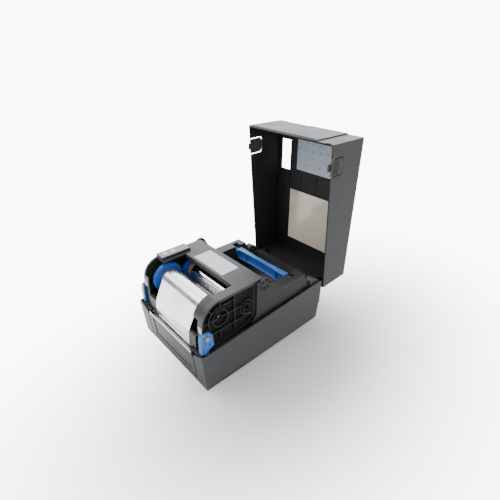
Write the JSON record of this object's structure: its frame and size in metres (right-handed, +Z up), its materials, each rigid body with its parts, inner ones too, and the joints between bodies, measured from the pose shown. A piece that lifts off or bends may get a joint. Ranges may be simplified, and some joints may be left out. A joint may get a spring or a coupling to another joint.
{
  "type": "thermal transfer printer",
  "caption": "Desktop thermal transfer label printer with its boxy top cover hinged open, showing a swing-up print-head module with ribbon spools and a label roll bay.",
  "frame": {"origin": "on the table under the middle of the printer's overall box as it stands with its cover open", "axes": "+X to the right as seen from the front, +Y from the front to the rear, +Z up"},
  "size_m": [0.214, 0.3962, 0.3864],
  "materials": {
    "casing": "fine spark-eroded texture",
    "housing": "fine texture",
    "smoke": "smoke tint",
    "blue_gear": "satin",
    "blue_lever": "satin",
    "steel": "satin",
    "pins": "satin",
    "aluminium": "satin",
    "ceramic": "glazed",
    "rubber": "matte",
    "card": "matte",
    "film": "metallised film",
    "paper": "matte",
    "board": "solder mask",
    "button": "satin",
    "panel": "satin",
    "lamp": "clear",
    "white_plastic": "satin",
    "black_plastic": "gloss",
    "motor": "satin black"
  },
  "bodies": {
    "base": {"lower_case": "casing", "steel_pins": "pins", "case_screws": "pins", "rubber_feet": "rubber", "front_bezel": "casing", "tear_bar": "steel", "inner_housing": "housing", "print_frame": "steel", "platen_bushings": "white_plastic", "stepper_motor": "motor", "paper_bed": "housing", "media_sensor": "black_plastic", "main_board": "board", "power_inlet": "black_plastic", "data_ports": "steel", "switch_frame": "black_plastic"},
    "cover": {"cover_shell": "casing", "cover_face_plate": "casing", "cover_window": "smoke", "cover_label": "paper"},
    "cover_latch_left": {"cover_latch_left": "casing"},
    "cover_latch_right": {"cover_latch_right": "casing"},
    "module": {"module_frame": "housing", "ribbon_guide_bars": "steel", "lever_screws": "pins", "ribbon_web": "film", "print_head": "ceramic", "heat_sink": "aluminium", "head_bracket": "steel", "head_springs": "steel", "panel_housing": "housing", "panel_overlay": "panel", "status_lamps": "lamp", "panel_board": "board", "module_labels": "paper"},
    "lever_left": {"lever_left": "blue_lever"},
    "lever_right": {"lever_right": "blue_lever"},
    "rewind_spool": {"rewind_shaft": "steel", "rewind_gear": "blue_gear", "rewind_core": "card", "rewind_film": "film", "rewind_hub": "blue_gear"},
    "rewind_drive": {"rewind_drive_gear": "white_plastic"},
    "supply_spool": {"supply_shaft": "steel", "supply_gear": "blue_gear", "supply_core": "card", "supply_film": "film", "supply_hub": "blue_gear"},
    "platen": {"platen_shaft": "steel", "platen_roller": "rubber", "platen_gear": "white_plastic"},
    "idler": {"idler_gear": "white_plastic"},
    "motor_rotor": {"motor_pinion": "pins"},
    "media_guide_left": {"media_guide_left": "blue_lever"},
    "media_guide_right": {"media_guide_right": "blue_lever"},
    "guide_pinion": {"guide_pinion": "white_plastic"},
    "label_spindle": {"label_spindle": "blue_lever"},
    "feed_button": {"feed_button": "button"},
    "pause_button": {"pause_button": "button"},
    "power_rocker": {"power_rocker": "black_plastic"}
  },
  "joints": [
    {"name": "cover_hinge", "type": "hinge", "parent": "base", "child": "cover", "pos_m": [0, 0.10512, 0.0833], "axis": [-1, 0, 0], "range_deg": [-88, 0]},
    {"name": "latch_left_flex", "type": "hinge", "parent": "cover", "child": "cover_latch_left", "pos_m": [-0.10575, 0.13296, 0.34363], "axis": [0, -0.0349, 0.9994], "range_deg": [0, 4], "stiffness_Nm_per_rad": 0.3, "springref_deg": -2.86},
    {"name": "latch_right_flex", "type": "hinge", "parent": "cover", "child": "cover_latch_right", "pos_m": [0.10575, 0.13296, 0.34363], "axis": [0, 0.0349, -0.9994], "range_deg": [0, 4], "stiffness_Nm_per_rad": 0.3, "springref_deg": -2.86},
    {"name": "module_hinge", "type": "hinge", "parent": "base", "child": "module", "pos_m": [0, -0.05008, 0.1605], "axis": [-1, 0, 0], "range_deg": [0, 50]},
    {"name": "lever_left_pivot", "type": "hinge", "parent": "module", "child": "lever_left", "pos_m": [-0.0986, -0.18097, 0.1141], "axis": [-1, 0, 0], "range_deg": [0, 12], "stiffness_Nm_per_rad": 0.15, "springref_deg": -17.19},
    {"name": "lever_right_pivot", "type": "hinge", "parent": "module", "child": "lever_right", "pos_m": [0.0986, -0.18097, 0.1141], "axis": [-1, 0, 0], "range_deg": [0, 12], "stiffness_Nm_per_rad": 0.15, "springref_deg": -17.19},
    {"name": "rewind_spin", "type": "hinge", "parent": "module", "child": "rewind_spool", "pos_m": [0, -0.14768, 0.135], "axis": [1, 0, 0], "continuous": true},
    {"name": "rewind_drive_spin", "type": "hinge", "parent": "module", "child": "rewind_drive", "pos_m": [-0.0715, -0.13733, 0.09639], "axis": [1, 0, 0], "continuous": true},
    {"name": "supply_spin", "type": "hinge", "parent": "module", "child": "supply_spool", "pos_m": [0, -0.08858, 0.128], "axis": [1, 0, 0], "continuous": true},
    {"name": "platen_spin", "type": "hinge", "parent": "base", "child": "platen", "pos_m": [0, -0.18008, 0.061], "axis": [1, 0, 0], "continuous": true},
    {"name": "idler_spin", "type": "hinge", "parent": "base", "child": "idler", "pos_m": [-0.074, -0.16008, 0.04422], "axis": [1, 0, 0], "continuous": true},
    {"name": "motor_spin", "type": "hinge", "parent": "base", "child": "motor_rotor", "pos_m": [-0.074, -0.14315, 0.03002], "axis": [1, 0, 0], "continuous": true},
    {"name": "media_guide_right_slide", "type": "slide", "parent": "base", "child": "media_guide_right", "axis": [-1, 0, 0], "range_m": [0, 0.04]},
    {"name": "media_guide_left_slide", "type": "slide", "parent": "base", "child": "media_guide_left", "axis": [1, 0, 0], "range_m": [0, 0.04]},
    {"name": "guide_pinion_spin", "type": "hinge", "parent": "base", "child": "guide_pinion", "pos_m": [0, -0.09807, 0.0647], "axis": [0, 0, 1], "range_deg": [0, 382]},
    {"name": "label_spindle_lift", "type": "slide", "parent": "base", "child": "label_spindle", "axis": [0, 0, 1], "range_m": [0, 0.06]},
    {"name": "feed_button_press", "type": "slide", "parent": "module", "child": "feed_button", "axis": [0, 0, -1], "range_m": [0, 0.0008], "stiffness_N_per_m": 400, "springref_m": -0.001},
    {"name": "pause_button_press", "type": "slide", "parent": "module", "child": "pause_button", "axis": [0, 0, -1], "range_m": [0, 0.0008], "stiffness_N_per_m": 400, "springref_m": -0.001},
    {"name": "power_rocker_tip", "type": "hinge", "parent": "base", "child": "power_rocker", "pos_m": [-0.088, 0.11142, 0.059], "axis": [-1, 0, 0], "range_deg": [0, 16]}
  ],
  "couplings": [
    {"joint": "rewind_drive_spin", "follows": "rewind_spin", "ratio": -3},
    {"joint": "idler_spin", "follows": "platen_spin", "ratio": -0.625},
    {"joint": "motor_spin", "follows": "platen_spin", "ratio": 1.6667},
    {"joint": "media_guide_left_slide", "follows": "media_guide_right_slide", "ratio": 1},
    {"joint": "guide_pinion_spin", "follows": "media_guide_right_slide", "rad_per_m": 166.67}
  ]
}
